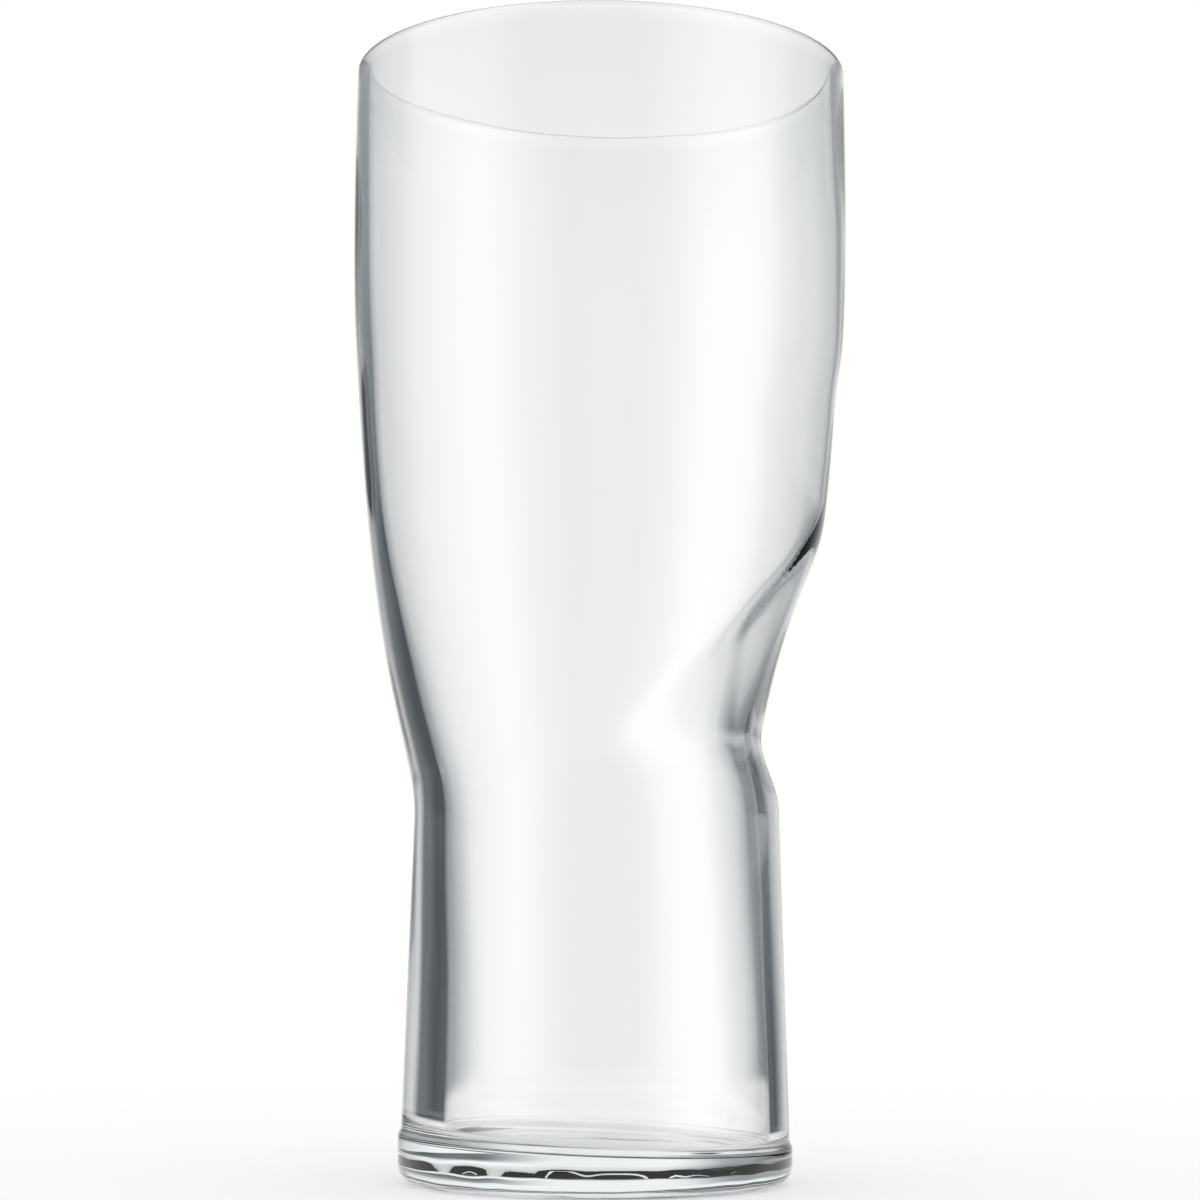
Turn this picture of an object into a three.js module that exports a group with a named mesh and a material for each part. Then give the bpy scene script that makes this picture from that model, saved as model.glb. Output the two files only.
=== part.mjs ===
// Tall soda tumbler in clear glass: one piece, pressed and blown in a mould.
// Millimetres, +Z up. The origin is the centre of the ring that the glass stands on,
// and +X points to the side with the slanting grip hollow.
import * as THREE from "three";

// Outside
const HEIGHT = 164.5; // table to rim
const RIM_RADIUS = 36.5; // at the mouth
const SHOULDER_HEIGHT = 123; // the bowl's taper turns into the upright barrel here
const SHOULDER_RADIUS = 36.25;
const WAIST_HEIGHT = 55.5; // crease between the lower body and the bowl
const WAIST_RADIUS = 26.6;
const FOOT_HEIGHT = 6.6; // top of the foot disc
const FOOT_RADIUS = 28.55;
const HEEL_ROUND = 3; // rounding of the foot's lower edge
const PUNT_RADIUS = 21.5; // shallow hollow under the foot, inside the bearing ring
const PUNT_DEPTH = 1.3;

// Radius gained per millimetre of height
const BODY_TAPER = 0.031; // lower body, widening downwards
const BOWL_FLARE = 0.26; // bowl just above the waist, widening upwards
const SHOULDER_FLARE = 0.06; // bowl at the shoulder
const RIM_LEAN = 0.02; // barrel at the mouth, closing in upwards

// Blends
const WAIST_BLEND = 3.6; // height of the rounding above and below the crease
const STEP_BLEND = 0.9; // height of the step above and below the foot's top
const BOWL_SWEEP = 0.32; // share of the bowl's height over which it keeps the waist's flare
const SHOULDER_SWEEP = 0.41; // share of it that already leans as the shoulder does
const BARREL_SWEEP = 0.3; // the same for both ends of the barrel
const PUNT_FLAT = 0.6; // share of the punt's radius where its roof is level

// Wall and bottom
const RIM_WALL = 1.8;
const BOWL_WALL = 1.7;
const WAIST_WALL = 3.75;
const BODY_WALL = 4.35; // where the wall meets the bottom
const THIN_FROM = 100; // the bowl's wall has its full thinness above this height
const THICK_BELOW = 58; // and the waist's thickness below this one
const FLOOR_HEIGHT = 6.2; // inside floor above the table
const FLOOR_ROUND = 1.5; // rounding where the wall meets the floor

// Grip hollow: the wall falls in below a slanting plane, and comes back out at the waist.
// The blown inside follows the pressed outside a little higher up and less deeply.
const HOLLOW_DEPTH = 5.5;
const INNER_DEPTH = 4.6;
const HOLLOW_START = 61.4; // height of the slanting plane on the glass's axis
const INNER_START = 63;
const HOLLOW_SLOPE = 1.02; // rise of that plane per millimetre towards +X
const HOLLOW_RUN = 27.5; // depth is reached this far below the plane
const HOLLOW_FOOT = 1.3; // the wall is back out this far below the waist's height
const HOLLOW_RETURN = 12.5; // height over which it comes back out
const HOLLOW_EDGE = 3; // rounding of the slanting edge

const SEGMENTS = 64; // round the axis

const at = (radius, height) => new THREE.Vector2(radius, height);

// The section through the wall, from the axis under the foot to the axis on the inside floor.
const section = [];
function follow(curve, steps) {
  const points = curve.getPoints(steps);
  section.push(...(section.length ? points.slice(1) : points));
}
function arc(centre, radius, from, to) {
  return new THREE.EllipseCurve(centre.x, centre.y, radius, radius, from, to, to < from);
}

// Underside: punt, bearing ring and heel.
const heelCentre = at(FOOT_RADIUS - HEEL_ROUND, HEEL_ROUND);
const puntEdge = at(PUNT_RADIUS, 0);
follow(
  new THREE.QuadraticBezierCurve(at(0, PUNT_DEPTH), at(PUNT_RADIUS * PUNT_FLAT, PUNT_DEPTH), puntEdge),
  3,
);
follow(new THREE.LineCurve(puntEdge, at(heelCentre.x, 0)), 1);
follow(arc(heelCentre, HEEL_ROUND, -Math.PI / 2, 0), 4);

// Foot disc, and the small step from it to the lower body.
const bodyRadius = (height) => WAIST_RADIUS + BODY_TAPER * (WAIST_HEIGHT - height);
const stepLow = at(FOOT_RADIUS, FOOT_HEIGHT - STEP_BLEND);
const stepHigh = at(bodyRadius(FOOT_HEIGHT + STEP_BLEND), FOOT_HEIGHT + STEP_BLEND);
follow(new THREE.LineCurve(at(FOOT_RADIUS, HEEL_ROUND), stepLow), 1);
follow(
  new THREE.CubicBezierCurve(
    stepLow,
    at(stepLow.x, FOOT_HEIGHT),
    at(stepHigh.x, FOOT_HEIGHT),
    stepHigh,
  ),
  3,
);

// Lower body up to the waist, and the rounded crease.
const waistLow = at(bodyRadius(WAIST_HEIGHT - WAIST_BLEND), WAIST_HEIGHT - WAIST_BLEND);
const waistHigh = at(WAIST_RADIUS + BOWL_FLARE * WAIST_BLEND, WAIST_HEIGHT + WAIST_BLEND);
const uprightFrom = section.length;
follow(new THREE.LineCurve(stepHigh, waistLow), 2);
follow(new THREE.QuadraticBezierCurve(waistLow, at(WAIST_RADIUS, WAIST_HEIGHT), waistHigh), 4);

// Bowl: one curve from the waist to the shoulder, one from there to the rim.
const shoulder = at(SHOULDER_RADIUS, SHOULDER_HEIGHT);
const lipCentre = at(RIM_RADIUS - RIM_WALL / 2, HEIGHT - RIM_WALL / 2);
function flared(low, lowFlare, lowSweep, high, highFlare, highSweep) {
  const rise = high.y - low.y;
  return new THREE.CubicBezierCurve(
    low,
    at(low.x + lowFlare * lowSweep * rise, low.y + lowSweep * rise),
    at(high.x - highFlare * highSweep * rise, high.y - highSweep * rise),
    high,
  );
}
const lipOutside = at(RIM_RADIUS, lipCentre.y);
follow(flared(waistHigh, BOWL_FLARE, BOWL_SWEEP, shoulder, SHOULDER_FLARE, SHOULDER_SWEEP), 14);
follow(flared(shoulder, SHOULDER_FLARE, BARREL_SWEEP, lipOutside, -RIM_LEAN, BARREL_SWEEP), 4);
const upright = section.slice(uprightFrom, -1);

// Fire-polished lip.
follow(arc(lipCentre, RIM_WALL / 2, 0, Math.PI), 6);
const insideFrom = section.length;

// Thickness of the wall at a height: thin in the bowl, thicker at the waist, thickest at the bottom.
const { lerp, smoothstep } = THREE.MathUtils;
function wall(height) {
  const bowl = lerp(WAIST_WALL, BOWL_WALL, smoothstep(height, THICK_BELOW, THIN_FROM));
  const lip = (RIM_WALL - BOWL_WALL) * smoothstep(height, SHOULDER_HEIGHT, lipCentre.y);
  const depth = Math.max(WAIST_HEIGHT - height, 0) / (WAIST_HEIGHT - FLOOR_HEIGHT);
  return bowl + lip + (BODY_WALL - WAIST_WALL) * depth;
}

// Inside: down the wall, round the corner and across the floor to the axis.
const floorTop = FLOOR_HEIGHT + FLOOR_ROUND;
const floorSide = at(bodyRadius(floorTop) - wall(floorTop), floorTop);
const floorEdge = at(floorSide.x - FLOOR_ROUND, FLOOR_HEIGHT);
for (const outside of upright.reverse()) {
  if (outside.y > floorTop) {
    section.push(at(outside.x - wall(outside.y), outside.y));
  }
}
follow(new THREE.LineCurve(section.at(-1), floorSide), 1);
follow(arc(at(floorEdge.x, floorTop), FLOOR_ROUND, 0, -Math.PI / 2), 4);
follow(new THREE.LineCurve(floorEdge, at(0, FLOOR_HEIGHT)), 1);

// How far a face of the wall is pushed in towards the axis by the grip hollow, at a point of the plain bowl.
function hollowDepth(x, z, start, depth) {
  const below = start + HOLLOW_SLOPE * x - z;
  const rounded = (below + Math.hypot(below, HOLLOW_EDGE)) / 2;
  const run = Math.min(rounded / HOLLOW_RUN, 1);
  const foot = WAIST_HEIGHT - HOLLOW_FOOT;
  const back = smoothstep(z, foot, foot + HOLLOW_RETURN);
  return depth * run * (2 - run) * back;
}

// Revolve the section about +Z, then press the hollow into the outer and the inner face of the wall.
const body = new THREE.LatheGeometry(section, SEGMENTS);
body.rotateX(Math.PI / 2);
const position = body.getAttribute("position");
for (let i = 0; i < position.count; i += 1) {
  const x = position.getX(i);
  const y = position.getY(i);
  const z = position.getZ(i);
  const radius = Math.hypot(x, y);
  const inside = i % section.length >= insideFrom;
  if (radius > 0) {
    const depth = inside
      ? hollowDepth(x, z, INNER_START, INNER_DEPTH)
      : hollowDepth(x, z, HOLLOW_START, HOLLOW_DEPTH);
    position.setX(i, x * (1 - depth / radius));
    position.setY(i, y * (1 - depth / radius));
  }
}
body.computeVertexNormals();

const clearGlass = new THREE.MeshStandardMaterial({
  color: 0xe9f0ee,
  roughness: 0.04,
  metalness: 0,
  transparent: true,
  opacity: 0.35,
});

const tumbler = new THREE.Mesh(body, clearGlass);
tumbler.name = "tumbler";

const glass = new THREE.Group();
glass.name = "soda_glass";
glass.add(tumbler);

export default glass;
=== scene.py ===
import math
import bpy
from mathutils import Euler, Matrix, Vector
from mathutils.geometry import interpolate_bezier


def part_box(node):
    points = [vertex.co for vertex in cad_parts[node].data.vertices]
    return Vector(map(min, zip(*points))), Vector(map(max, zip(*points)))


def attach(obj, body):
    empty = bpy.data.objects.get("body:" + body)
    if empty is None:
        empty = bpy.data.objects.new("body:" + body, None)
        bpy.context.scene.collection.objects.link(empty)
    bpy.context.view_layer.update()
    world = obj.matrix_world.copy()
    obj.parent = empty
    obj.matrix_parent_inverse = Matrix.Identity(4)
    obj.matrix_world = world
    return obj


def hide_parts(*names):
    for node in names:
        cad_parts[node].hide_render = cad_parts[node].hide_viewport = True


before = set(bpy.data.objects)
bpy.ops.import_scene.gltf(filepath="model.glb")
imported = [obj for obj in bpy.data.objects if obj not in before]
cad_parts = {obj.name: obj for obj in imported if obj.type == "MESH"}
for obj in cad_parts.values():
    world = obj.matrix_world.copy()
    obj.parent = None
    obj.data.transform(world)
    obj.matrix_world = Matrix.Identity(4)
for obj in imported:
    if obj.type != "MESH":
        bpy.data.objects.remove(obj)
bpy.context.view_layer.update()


# Tumbler: one piece of clear soda-lime glass, pressed and then blown in a mould from a single gob.
# The mould gives the outside, the foot and the slanting grip hollow. Air shapes the inside, which is a
# little uneven, and a flame rounds the rim. Sizes are in metres, and the glass stands on the origin.
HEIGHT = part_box("tumbler")[1][2]
RIM_RADIUS = 0.0365
SHOULDER_HEIGHT = 0.123
SHOULDER_RADIUS = 0.03625
WAIST_HEIGHT = 0.0555
WAIST_RADIUS = 0.0266
FOOT_HEIGHT = 0.0066
FOOT_RADIUS = 0.02855
HEEL_ROUND = 0.003
PUNT_RADIUS = 0.0215
PUNT_DEPTH = 0.0013
PUNT_FLAT = 0.6  # share of the punt's radius where its roof is level

# Radius gained per length of height.
BODY_TAPER = 0.031
BOWL_FLARE = 0.26
SHOULDER_FLARE = 0.06
RIM_LEAN = 0.02

# Roundings.
WAIST_BLEND = 0.0036
STEP_BLEND = 0.0009
FLOOR_ROUND = 0.0015

# Share of a curve's height over which it keeps the lean of its end.
BOWL_SWEEP = 0.32
SHOULDER_SWEEP = 0.41
BARREL_SWEEP = 0.3

# The wall is thin in the bowl, thickens down to the waist, and is thickest where it meets the bottom.
RIM_WALL = 0.0018
BOWL_WALL = 0.0017
WAIST_WALL = 0.00375
BODY_WALL = 0.00435
THIN_FROM = 0.1
THICK_BELOW = 0.058
FLOOR_HEIGHT = 0.0062

ROUND = 4 / 3 * (math.sqrt(2) - 1)  # handle length of a quarter circle, in radii

section = []


def at(radius, height):
    return Vector((radius, 0, height))


def follow(rows, start, start_handle, end_handle, end):
    points = interpolate_bezier(start, start_handle, end_handle, end, rows + 1)
    section.extend(points[1:] if section else points)


def straight(rows, start, end):
    follow(rows, start, start.lerp(end, 1 / 3), end.lerp(start, 1 / 3), end)


def bent(rows, start, corner, end):
    follow(rows, start, start.lerp(corner, 2 / 3), end.lerp(corner, 2 / 3), end)


def rounded(rows, start, corner, end):
    follow(rows, start, start.lerp(corner, ROUND), end.lerp(corner, ROUND), end)


def flared(rows, low, low_flare, low_reach, high, high_flare, high_reach):
    rise = high.z - low.z
    low_handle = low + at(low_flare, 1) * low_reach * rise
    high_handle = high - at(high_flare, 1) * high_reach * rise
    follow(rows, low, low_handle, high_handle, high)


def body_radius(height):
    return WAIST_RADIUS + BODY_TAPER * (WAIST_HEIGHT - height)


def share(height, start, end):
    part = min(max((height - start) / (end - start), 0), 1)
    return part * part * (3 - 2 * part)


def wall(height):
    bowl = WAIST_WALL + (BOWL_WALL - WAIST_WALL) * share(height, THICK_BELOW, THIN_FROM)
    lip = (RIM_WALL - BOWL_WALL) * share(height, SHOULDER_HEIGHT, lip_height)
    body = (BODY_WALL - WAIST_WALL) * max(WAIST_HEIGHT - height, 0) / (WAIST_HEIGHT - FLOOR_HEIGHT)
    return bowl + lip + body


# The section runs from the axis under the foot, up the outside, over the rim and down the inside.
heel_low = at(FOOT_RADIUS - HEEL_ROUND, 0)
heel_high = at(FOOT_RADIUS, HEEL_ROUND)
step_low = at(FOOT_RADIUS, FOOT_HEIGHT - STEP_BLEND)
step_high = at(body_radius(FOOT_HEIGHT + STEP_BLEND), FOOT_HEIGHT + STEP_BLEND)
waist = at(WAIST_RADIUS, WAIST_HEIGHT)
waist_low = at(body_radius(WAIST_HEIGHT - WAIST_BLEND), WAIST_HEIGHT - WAIST_BLEND)
waist_high = waist + at(BOWL_FLARE, 1) * WAIST_BLEND
shoulder = at(SHOULDER_RADIUS, SHOULDER_HEIGHT)
lip_height = HEIGHT - RIM_WALL / 2
lip_outside = at(RIM_RADIUS, lip_height)
lip_top = at(RIM_RADIUS - RIM_WALL / 2, HEIGHT)
lip_inside = at(RIM_RADIUS - RIM_WALL, lip_height)
bent(16, at(0, PUNT_DEPTH), at(PUNT_RADIUS * PUNT_FLAT, PUNT_DEPTH), at(PUNT_RADIUS, 0))
straight(3, at(PUNT_RADIUS, 0), heel_low)
rounded(10, heel_low, at(FOOT_RADIUS, 0), heel_high)
straight(3, heel_high, step_low)
follow(8, step_low, at(step_low.x, FOOT_HEIGHT), at(step_high.x, FOOT_HEIGHT), step_high)
upright_from = len(section)
straight(24, step_high, waist_low)
bent(12, waist_low, waist, waist_high)
flared(64, waist_high, BOWL_FLARE, BOWL_SWEEP, shoulder, SHOULDER_FLARE, SHOULDER_SWEEP)
flared(20, shoulder, SHOULDER_FLARE, BARREL_SWEEP, lip_outside, -RIM_LEAN, BARREL_SWEEP)
upright = section[upright_from:-1]
rounded(8, lip_outside, at(RIM_RADIUS, HEIGHT), lip_top)
inside_from = len(section)
rounded(8, lip_top, at(lip_inside.x, HEIGHT), lip_inside)
floor_top = FLOOR_HEIGHT + FLOOR_ROUND
for outside in reversed(upright):
    if outside.z > floor_top:
        section.append(outside - at(wall(outside.z), 0))
floor_side = at(body_radius(floor_top) - wall(floor_top), floor_top)
floor_edge = floor_side - at(FLOOR_ROUND, FLOOR_ROUND)
straight(1, section[-1], floor_side)
rounded(10, floor_side, at(floor_side.x, FLOOR_HEIGHT), floor_edge)
straight(12, floor_edge, at(0, FLOOR_HEIGHT))


class Wire:
    """A node's socket. Arithmetic on it adds Math nodes, and node() adds a node of any other kind."""

    def __init__(self, tree, socket=None):
        self.tree = tree
        self.socket = socket

    def node(self, kind, settings=None, sockets=None, out=0):
        made = self.tree.nodes.new(kind)
        for name, value in (settings or {}).items():
            setattr(made, name, value)
        for key, value in (sockets or {}).items():
            if isinstance(key, int):
                into = made.inputs[key]
            else:
                into = next(s for s in made.inputs if s.enabled and key in (s.name, s.identifier))
            if isinstance(value, Wire):
                self.tree.links.new(value.socket, into)
            else:
                into.default_value = value
        return Wire(self.tree, made.outputs[out] if made.outputs else None)

    def beside(self, out):
        return Wire(self.tree, self.socket.node.outputs[out])

    def math(self, operation, *values):
        return self.node("ShaderNodeMath", {"operation": operation}, dict(enumerate(values)))

    def __add__(self, other):
        return self.math("ADD", self, other)

    def __sub__(self, other):
        return self.math("SUBTRACT", self, other)

    def __rsub__(self, other):
        return self.math("SUBTRACT", other, self)

    def __mul__(self, other):
        return self.math("MULTIPLY", self, other)

    def __truediv__(self, other):
        return self.math("DIVIDE", self, other)

    def __mod__(self, other):
        return self.math("MODULO", self, other)

    def __neg__(self):
        return self.math("MULTIPLY", self, -1)

    __radd__ = __add__
    __rmul__ = __mul__

    def at_least(self, other):
        return self.math("MAXIMUM", self, other)

    def eased(self, start, end, how="SMOOTHSTEP"):
        sockets = {"Value": self, "From Min": start, "From Max": end}
        return self.node("ShaderNodeMapRange", {"interpolation_type": how}, sockets)


# The tree turns the section about the axis and presses the hollow into both faces of the wall: below a
# slanting plane the wall falls in, and it comes back out at the waist. The plane's edge is rounder towards
# the front and back. Above it the bowl's side is slightly flat, and inside there is a slight swell under it.
# The blown inside sits a little off the axis, and its floor slopes.
SIZES = {
    "Segments": 256,
    "Inside From Row": inside_from,
    "Hollow Depth": 0.00481,
    "Hollow Start": 0.0608,
    "Hollow Slope": 0.955,
    "Hollow Run": 0.02278,
    "Hollow Edge": 0.0024,
    "Hollow Front": 0.0053,
    "Hollow Foot": WAIST_HEIGHT - 0.0034,
    "Hollow Return": 0.0147,
    "Inner Depth": 0.00411,
    "Inner Start": 0.06223,
    "Inner Slope": 0.983,
    "Inner Run": 0.02444,
    "Inner Edge": 0.0018,
    "Inner Front": 0.0009,
    "Inner Foot": WAIST_HEIGHT - 0.0036,
    "Inner Return": 0.0168,
    "Flat": 0.00058,
    "Swell": 0.0002,
    "Swell Top": 0.0682,
    "Swell Curve": 27.0,
    "Bowl Shift": 0.00035,
    "Bottom Shift": 0.00085,
    "Floor Slope": 0.05,
    "Step Slope": 0.03,
    "Unevenness": 0.00015,
    "Underside Unevenness": 0.00017,
}
WHOLE = ("Segments", "Inside From Row")

# Heights between which a form comes in or goes out, and for the swell also the distances towards +X.
FLAT_TOP = (0.1238, 0.1132)
FLAT_LOW = (WAIST_HEIGHT, 0.085)
FLAT_ACROSS = (0.4, 1)  # as a share of the radius
SWELL_EDGE = (-0.0019, 0.0019)
SWELL_ACROSS = (0.0172, 0.0219)
SWELL_LOW = (0.0526, 0.0613)
RIM_TRUE = (HEIGHT - 0.002, HEIGHT - 0.025)
SHIFT_LOW = (0.07, 0.012)
SLOPE_LOW = (FLOOR_HEIGHT + 0.022, FLOOR_HEIGHT)
STEP_LOW = (FOOT_HEIGHT - 0.0035, FOOT_HEIGHT)
STEP_HIGH = (FOOT_HEIGHT + 0.0045, FOOT_HEIGHT)
HEEL_LOW = (0.0045, 0.0015)
HEEL_OUT = (PUNT_RADIUS, PUNT_RADIUS + 0.003)
ROOF_IN = (PUNT_RADIUS, PUNT_RADIUS * 0.8)
ROOF_LOW = (PUNT_DEPTH + 0.001, PUNT_DEPTH)

lathe = bpy.data.node_groups.new("turned_and_pressed_glass", "GeometryNodeTree")
lathe.interface.new_socket("Section", in_out="INPUT", socket_type="NodeSocketGeometry")
for name in SIZES:
    kind = "NodeSocketInt" if name in WHOLE else "NodeSocketFloat"
    lathe.interface.new_socket(name, in_out="INPUT", socket_type=kind)
lathe.interface.new_socket("Glass", in_out="INPUT", socket_type="NodeSocketMaterial")
lathe.interface.new_socket("Tumbler", in_out="OUTPUT", socket_type="NodeSocketGeometry")

drawn = Wire(lathe).node("NodeGroupInput")
size = {name: drawn.beside(name) for name in SIZES}
rows = drawn.node("GeometryNodeAttributeDomainSize", sockets={"Geometry": drawn})
grid = drawn.node("GeometryNodeMeshGrid", sockets={"Vertices X": size["Segments"] + 1, "Vertices Y": rows})
index = drawn.node("GeometryNodeInputIndex")
row = index % rows
turn = drawn.math("FLOOR", index / rows) / size["Segments"] * math.tau
position = drawn.node("GeometryNodeInputPosition")
on_section = drawn.node(
    "GeometryNodeSampleIndex",
    {"data_type": "FLOAT_VECTOR"},
    {"Geometry": drawn, "Value": position, "Index": row},
)
plain = drawn.node("ShaderNodeSeparateXYZ", sockets={"Vector": on_section})
radius = plain.beside("X")
height = plain.beside("Z")
across = drawn.math("SINE", turn)
along = -1 * drawn.math("COSINE", turn)
plain_x = radius * across
plain_y = radius * along


def pressed(face):
    below = size[face + " Start"] + size[face + " Slope"] * plain_x - height
    rounding = size[face + " Edge"] + size[face + " Front"] * drawn.math("MINIMUM", 1 - across, 1)
    edge = drawn.math("SQRT", below * below + rounding * rounding)
    run = drawn.math("MINIMUM", (below + edge) / 2 / size[face + " Run"], 1)
    foot = size[face + " Foot"]
    back = height.eased(foot, foot + size[face + " Return"], "SMOOTHERSTEP")
    return size[face + " Depth"] * run * (2 - run) * back


inside = drawn.math("GREATER_THAN", row, size["Inside From Row"])
outside = 1 - inside
below_rim = height.eased(*RIM_TRUE)
direction = drawn.node("ShaderNodeCombineXYZ", sockets={"X": across, "Y": along, "Z": height * 14})
uneven = drawn.node("ShaderNodeTexNoise", sockets={"Vector": direction, "Scale": 1.6, "Detail": 1.0})
wave = (uneven - 0.5) * size["Unevenness"] * 2 * height.eased(FLOOR_HEIGHT, FLOOR_HEIGHT + 0.02)
swell_top = size["Swell Top"] + size["Swell Curve"] * plain_x * plain_x
swell = size["Swell"] * (swell_top - height).eased(*SWELL_EDGE) * plain_x.eased(*SWELL_ACROSS)
swollen = pressed("Inner") + swell * height.eased(*SWELL_LOW)
flat = size["Flat"] * height.eased(*FLAT_TOP) * height.eased(*FLAT_LOW) * across.eased(*FLAT_ACROSS)
unturned = drawn.node("ShaderNodeCombineXYZ", sockets={"X": plain_x, "Y": plain_y, "Z": height})
ripple = drawn.node("ShaderNodeTexNoise", sockets={"Vector": unturned, "Scale": 150.0, "Detail": 1.0})
ripples = (ripple - 0.5) * size["Underside Unevenness"] * 2 * outside
heel_ripples = ripples * height.eased(*HEEL_LOW) * radius.eased(*HEEL_OUT)
reach = radius - flat - pressed("Hollow") * outside - (swollen - wave * below_rim) * inside + heel_ripples
shift = size["Bowl Shift"] + size["Bottom Shift"] * height.eased(*SHIFT_LOW)
x = reach * across + shift * below_rim * inside
floor_slope = size["Floor Slope"] * height.eased(*SLOPE_LOW) * inside
near_step = height.eased(*STEP_LOW) * height.eased(*STEP_HIGH)
roof_ripples = ripples * radius.eased(*ROOF_IN) * height.eased(*ROOF_LOW)
z = height - x * (floor_slope + size["Step Slope"] * near_step * outside) + roof_ripples
turned = drawn.node("ShaderNodeCombineXYZ", sockets={"X": plain_x, "Y": radius * along, "Z": height})
ripple = drawn.node("ShaderNodeTexNoise", sockets={"Vector": unturned, "Scale": 150.0, "Detail": 1.0})
ripples = (ripple - 0.5) * size["Underside Unevenness"] * 2 * outside
heel_ripples = ripples * height.eased(0.0045, 0.0015) * radius.eased(PUNT_RADIUS, PUNT_RADIUS + 0.003)
reach = radius - flat - pressed("Hollow") * outside - (swollen - wave * below_rim) * inside + heel_ripples
shift = size["Bowl Shift"] + size["Bottom Shift"] * height.eased(0.07, 0.012)
x = reach * across + shift * below_rim * inside
floor_slope = size["Floor Slope"] * height.eased(FLOOR_HEIGHT + 0.022, FLOOR_HEIGHT) * inside
near_step = height.eased(FOOT_HEIGHT - 0.0035, FOOT_HEIGHT) * height.eased(FOOT_HEIGHT + 0.0045, FOOT_HEIGHT)
roof = radius.eased(PUNT_RADIUS, PUNT_RADIUS * 0.8) * height.eased(PUNT_DEPTH + 0.001, PUNT_DEPTH)
z = height - x * (floor_slope + size["Step Slope"] * near_step * outside) + ripples * roof
turned = drawn.node("ShaderNodeCombineXYZ", sockets={"X": x, "Y": reach * along, "Z": z})
shaped = drawn.node("GeometryNodeSetPosition", sockets={"Geometry": grid, "Position": turned})
closed = drawn.node("GeometryNodeMergeByDistance", sockets={"Geometry": shaped, "Distance": 1e-6})
smooth = drawn.node("GeometryNodeSetShadeSmooth", sockets={"Geometry": closed, "Shade Smooth": True})
real = drawn.node("GeometryNodeRealizeInstances", sockets={"Geometry": smooth})
dressed = drawn.node("GeometryNodeSetMaterial", sockets={"Geometry": real, "Material": drawn.beside("Glass")})
drawn.node("NodeGroupOutput", sockets={"Tumbler": dressed})

# Clear glass with a faint cool tint in the thick bottom, a thin film from washing, and a scuffed ring
# where the glass stands.
clear_glass = bpy.data.materials.new("clear_glass")
clear_glass.use_nodes = True
clear_glass.node_tree.nodes.clear()
glass = Wire(clear_glass.node_tree)
place = glass.node("ShaderNodeTexCoord", out="Object")
spot = glass.node("ShaderNodeSeparateXYZ", sockets={"Vector": place})
film = glass.node("ShaderNodeTexNoise", sockets={"Vector": place, "Scale": 60.0, "Detail": 3.0})
scratches = glass.node("ShaderNodeTexNoise", sockets={"Vector": place, "Scale": 1800.0, "Detail": 2.0})
stands = spot.beside("Z").eased(0.0007, 0.0001)
roughness = film.eased(0.45, 0.8) * 0.012 + stands * scratches.eased(0.4, 0.7) * 0.3
streaks = glass.node("ShaderNodeMapping", sockets={"Vector": place, "Scale": (90.0, 90.0, 6.0)})
cord = glass.node("ShaderNodeTexNoise", sockets={"Vector": streaks, "Scale": 1.0, "Detail": 2.0})
tone = glass.node(
    "ShaderNodeMix",
    {"data_type": "RGBA"},
    {0: cord.eased(0.3, 0.7), "A_Color": (0.985, 0.99, 0.995, 1), "B_Color": (0.995, 0.998, 1, 1)},
    out=2,
)
dimples = glass.node("ShaderNodeTexNoise", sockets={"Vector": place, "Scale": 110.0, "Detail": 1.0})
skin = glass.node("ShaderNodeBump", sockets={"Height": dimples, "Strength": 0.5, "Distance": 0.00001})
shader = glass.node(
    "ShaderNodeBsdfPrincipled",
    sockets={
        "Base Color": tone,
        "Roughness": roughness,
        "IOR": 1.52,
        "Normal": skin,
        "Transmission Weight": 1.0,
    },
)
tint = glass.node("ShaderNodeVolumeAbsorption", sockets={"Color": (0.8, 0.93, 0.95, 1), "Density": 4.0})
glass.node("ShaderNodeOutputMaterial", sockets={"Surface": shader, "Volume": tint})

section_mesh = bpy.data.meshes.new("section")
section_mesh.from_pydata(section, [], [])
tumbler = bpy.data.objects.new("tumbler_glass", section_mesh)
bpy.context.scene.collection.objects.link(tumbler)
turning = tumbler.modifiers.new("turning", "NODES")
turning.node_group = lathe
for item in lathe.interface.items_tree:
    if item.name in SIZES:
        turning[item.identifier] = SIZES[item.name]
    elif item.name == "Glass":
        turning[item.identifier] = clear_glass
evaluated = tumbler.evaluated_get(bpy.context.evaluated_depsgraph_get())
tumbler_mesh = bpy.data.meshes.new_from_object(evaluated)
tumbler.modifiers.remove(turning)
tumbler.data = tumbler_mesh
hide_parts("tumbler")
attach(tumbler, "root")


# Table: a pale matt sheet under the glass, which fades into the white behind it. Seen in the glass it
# glows, with a painted shadow close to the foot. It isn't part of the object.
TABLE_RADIUS = 0.3
TABLE_SIDES = 96
TABLE_FADE = (0.19, 0.26)
MIRROR_FADE = (0.065, 0.091)
TABLE_GREY = 0.6
TABLE_LIFT = 0.4
TABLE_IN_GLASS = 0.65  # how bright the table glows in the glass: close to it, under a painted shadow, and what is added further out
TABLE_IN_GLASS_GAIN = 0.3
PAINTED_SHADOW_EDGE = (0.02, 0.045)

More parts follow.
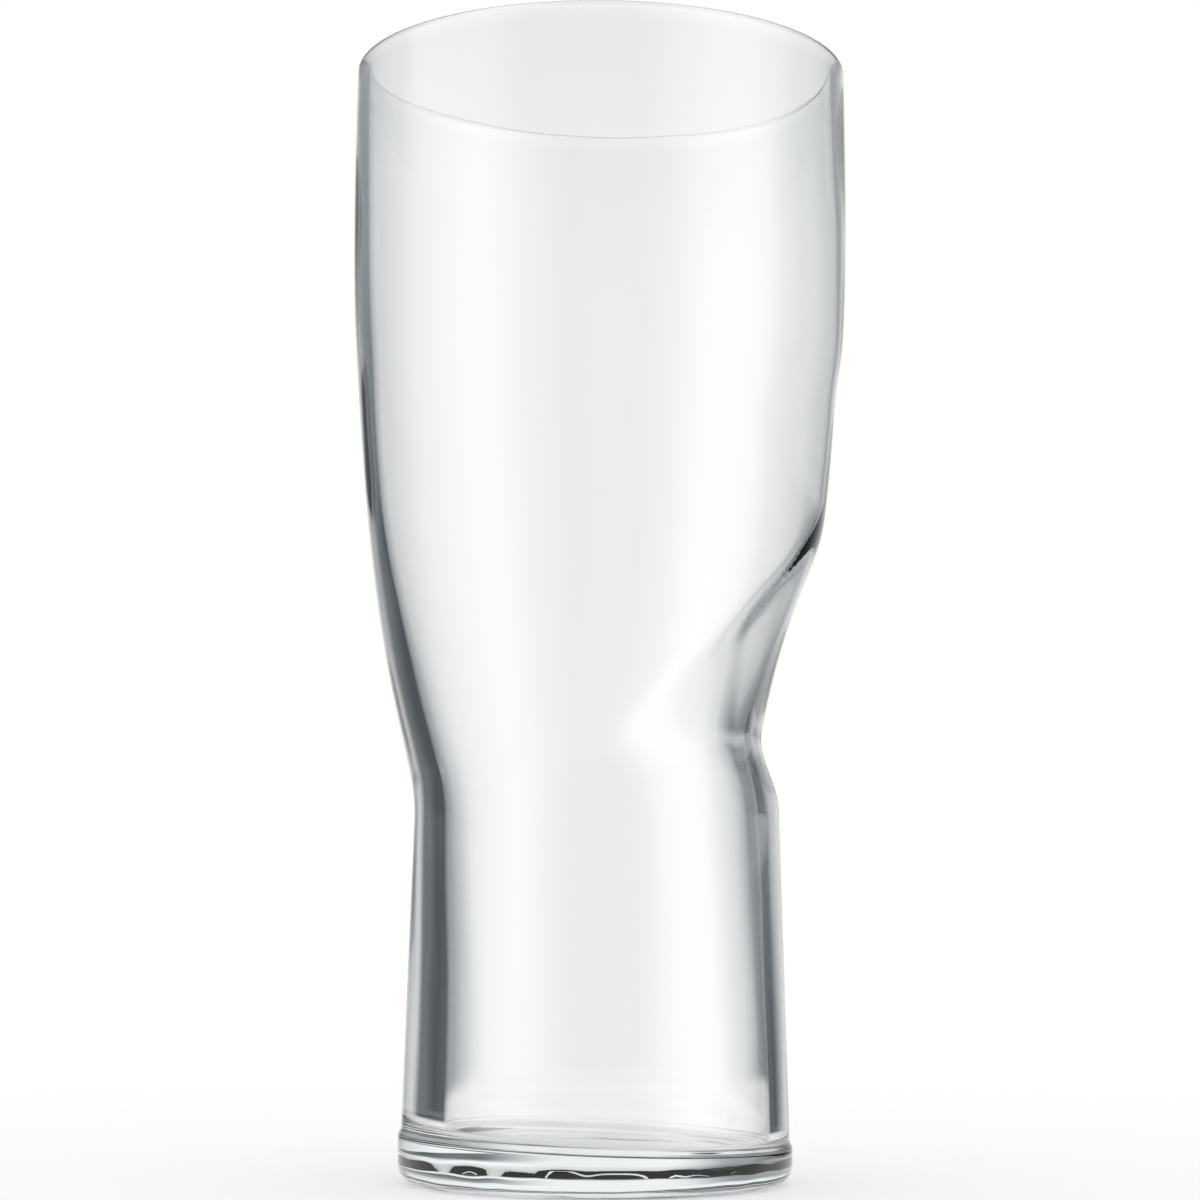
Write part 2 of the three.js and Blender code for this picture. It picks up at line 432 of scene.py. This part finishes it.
table_edge = []
for side in range(TABLE_SIDES):
    turned_by = math.tau * side / TABLE_SIDES
    table_edge.append((TABLE_RADIUS * math.cos(turned_by), TABLE_RADIUS * math.sin(turned_by), 0))
sheet_mesh = bpy.data.meshes.new("table")
sheet_mesh.from_pydata(table_edge, [], [list(range(TABLE_SIDES))])
table = bpy.data.objects.new("table", sheet_mesh)
bpy.context.scene.collection.objects.link(table)
pale = bpy.data.materials.new("pale_table")
pale.use_nodes = True
pale.node_tree.nodes.clear()
sheet = Wire(pale.node_tree)
table_spot = sheet.node("ShaderNodeTexCoord", out="Object")
away = sheet.node("ShaderNodeVectorMath", {"operation": "LENGTH"}, {0: table_spot}, out="Value")
table_path = sheet.node("ShaderNodeLightPath", out="Is Camera Ray")
table_mirrored = sheet.math("GREATER_THAN", table_path.beside("Glossy Depth"), 0.5)
# Painted shadow: in the glass the table glows less close to the foot than further out.
in_glass_with_painted_shadow = TABLE_IN_GLASS + TABLE_IN_GLASS_GAIN * away.eased(*PAINTED_SHADOW_EDGE)
matt = sheet.node("ShaderNodeBsdfDiffuse", sockets={"Color": (TABLE_GREY, TABLE_GREY, TABLE_GREY, 1)})
lift = sheet.node("ShaderNodeEmission", sockets={"Strength": TABLE_LIFT})
open_table = sheet.node("ShaderNodeAddShader", sockets={0: matt, 1: lift})
glow_with_painted_shadow = sheet.node("ShaderNodeEmission", sockets={"Strength": in_glass_with_painted_shadow})
seen = sheet.node("ShaderNodeMixShader", sockets={0: table_path, 1: glow_with_painted_shadow, 2: open_table})
gone = sheet.node("ShaderNodeBsdfTransparent")
fade = away.eased(*TABLE_FADE) * (1 - table_mirrored) + away.eased(*MIRROR_FADE) * table_mirrored
faded = sheet.node("ShaderNodeMixShader", sockets={0: fade, 1: seen, 2: gone})
sheet.node("ShaderNodeOutputMaterial", sockets={"Surface": faded})
sheet_mesh.materials.append(pale)


# Studio: a pale backdrop behind the glass between dark sides, and a tall soft box on the left and on the
# right. The camera sees plain white all round. What passes straight through the glass sees the backdrop,
# and what the glass reflects sees the whole studio. Directions are in degrees from the backdrop's middle.
BACKDROP = 0.93
FALL_OFF = 0.87
MIRRORED_BACKDROP = 0.85
LEFT_BOX = 1.06
RIGHT_BOX = 1.67
FRONT = 0.43
CEILING = 0.72
DARK = 0.09

studio = bpy.data.worlds.new("studio")
bpy.context.scene.world = studio
studio.use_nodes = True
studio.node_tree.nodes.clear()
light = Wire(studio.node_tree)
towards = light.node("ShaderNodeTexCoord", out="Generated")
heading = light.node("ShaderNodeSeparateXYZ", sockets={"Vector": towards})
right = light.math("ARCTAN2", heading, heading.beside("Y")) * (180 / math.pi)
left = -right
round_front = light.math("ABSOLUTE", right)
up = light.math("ARCSINE", heading.beside("Z")) * (180 / math.pi)

# What passes straight through: the backdrop, which falls off to both sides near the table's level.
right_fall = right.eased(5, 26) * up.eased(9, 3)
left_fall = left.eased(13, 34) * 0.78
near_level = up.eased(-13, -8) * up.eased(60, 30) * round_front.eased(100, 70)
fall_off = right_fall.at_least(left_fall) * near_level * FALL_OFF
through = (BACKDROP - 0.1 * up.eased(12, 20) + 0.3 * up.eased(25, 50)) * (1 - fall_off)

# What is reflected: the backdrop, the two boxes, the room in front, the ceiling and the dark sides.
backdrop = left.eased(28, 9) * right.eased(45, 9) * MIRRORED_BACKDROP
left_box = left.eased(63, 91) * left.eased(164, 118) * LEFT_BOX
right_box = right.eased(54, 116) * right.eased(187, 116) * RIGHT_BOX
front = round_front.eased(127, 157) * FRONT
ceiling = up.eased(-17, 50) * CEILING
sides = DARK + 0.28 * up.eased(3, 4) * right.eased(-5, 5)
mirrored = backdrop.at_least(left_box).at_least(right_box).at_least(front).at_least(ceiling).at_least(sides)

path = light.node("ShaderNodeLightPath", out="Is Camera Ray")
reflected = path.math("GREATER_THAN", path.beside("Glossy Depth"), 0.5)
plain_light = path.at_least(path.beside("Is Diffuse Ray"))
level = through * (1 - reflected) + mirrored * reflected
shown = level * (1 - plain_light) + plain_light
# Greys are slightly cool, white stays white.
cool = light.node(
    "ShaderNodeCombineColor",
    sockets={0: light.math("POWER", shown, 1.06), 1: shown, 2: light.math("POWER", shown, 0.97)},
)
glow = light.node("ShaderNodeBackground", sockets={"Color": cool})
light.node("ShaderNodeOutputWorld", sockets={"Surface": glow})


# Camera: low and close, looking slightly up, as in the photograph.
CAMERA_AWAY = 0.42746
CAMERA_HEIGHT = 0.03787
CAMERA_SIDE = 0.0003
CAMERA_PITCH = 6.26
CAMERA_ROLL = 0.29
FOCAL_PIXELS = 2909
FRAME_PIXELS = 1200

camera_data = bpy.data.cameras.new("camera")
camera_data.sensor_width = 36
camera_data.lens = camera_data.sensor_width * FOCAL_PIXELS / FRAME_PIXELS
camera = bpy.data.objects.new("camera", camera_data)
bpy.context.scene.collection.objects.link(camera)
tilt = Euler((math.radians(90 + CAMERA_PITCH), 0, 0)).to_matrix()
roll = Matrix.Rotation(math.radians(CAMERA_ROLL), 3, "Z")
camera.matrix_world = Matrix.Translation((CAMERA_SIDE, -CAMERA_AWAY, CAMERA_HEIGHT)) @ (tilt @ roll).to_4x4()
bpy.context.scene.camera = camera
bpy.context.scene.view_settings.view_transform = "Standard"
